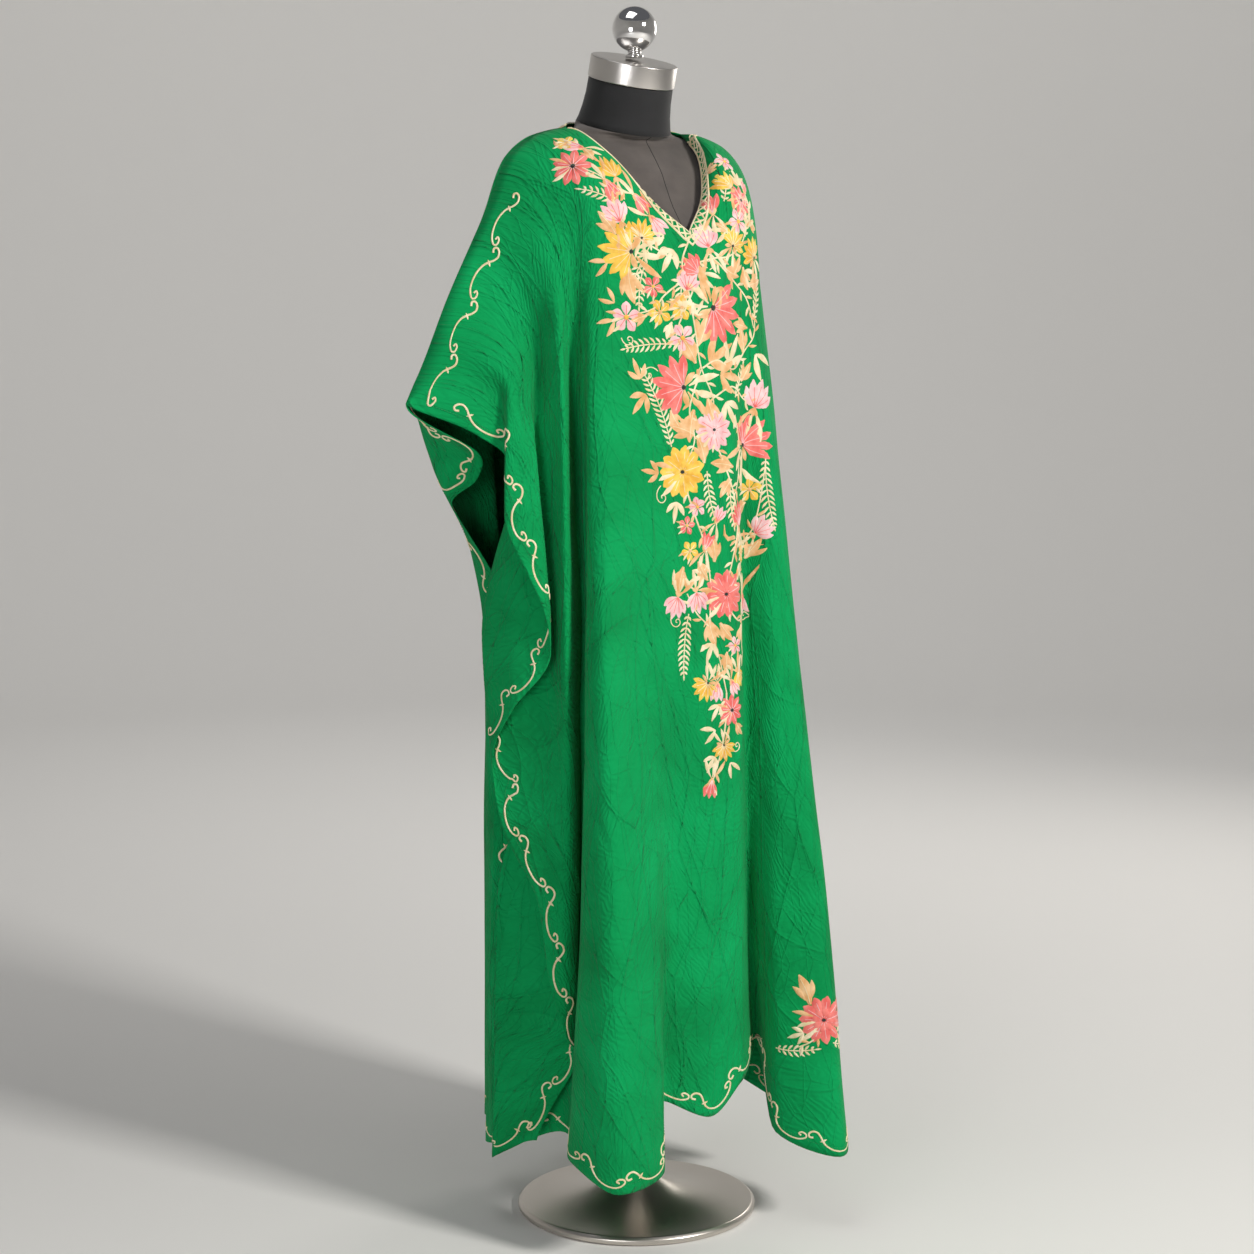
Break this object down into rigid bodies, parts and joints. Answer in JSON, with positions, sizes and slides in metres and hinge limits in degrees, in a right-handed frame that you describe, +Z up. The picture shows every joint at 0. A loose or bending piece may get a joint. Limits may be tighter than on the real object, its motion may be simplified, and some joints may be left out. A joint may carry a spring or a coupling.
{
  "type": "kaftan on a limbless dress form",
  "caption": "Wide V-neck kaftan with cascading side edges and flower embroidery, worn by a limbless dress form on a round steel stand.",
  "frame": {"origin": "centre of the base's underside, on the pole's axis", "axes": "+Z up along the pole, the form faces -Y, and -X is the wearer's right"},
  "size_m": [0.5789, 0.4774, 1.5897],
  "materials": {
    "cloth": "crinkled cotton crepe, soft sheen",
    "form_fabric": "stretched dark jersey",
    "neck_fabric": "smooth dark cover",
    "brushed_steel": "brushed round",
    "polished_steel": "mirror polished"
  },
  "bodies": {
    "root": {"front": "cloth", "back": "cloth", "form_torso": "form_fabric", "form_neck": "neck_fabric", "neck_cap": "brushed_steel", "finial": "polished_steel", "pole": "brushed_steel", "base": "brushed_steel"}
  },
  "joints": []
}
